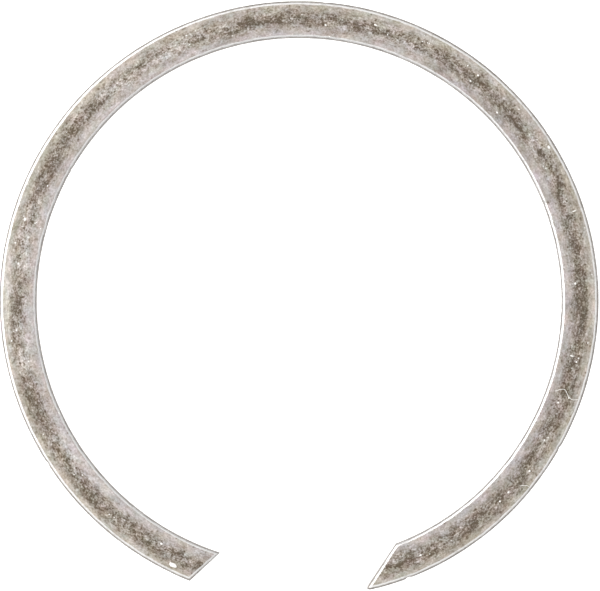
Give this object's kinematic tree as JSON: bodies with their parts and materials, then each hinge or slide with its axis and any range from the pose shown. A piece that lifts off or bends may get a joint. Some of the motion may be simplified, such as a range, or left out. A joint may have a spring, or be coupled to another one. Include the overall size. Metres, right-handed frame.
{
  "type": "retaining ring",
  "caption": "Flat open snap ring of rounded spring-steel wire, with a wide gap and slanted ends, that springs outward into a groove in a housing bore.",
  "frame": {"origin": "centre of the ring's circle, halfway through its thickness", "axes": "+Z along the ring's axis, -Y towards the middle of the gap, +X to the side of the more slanted end"},
  "size_m": [0.066, 0.0649, 0.002],
  "materials": {
    "spring_steel": "satin",
    "dust": "matte"
  },
  "bodies": {
    "root": {"ring": "spring_steel"}
  },
  "joints": []
}
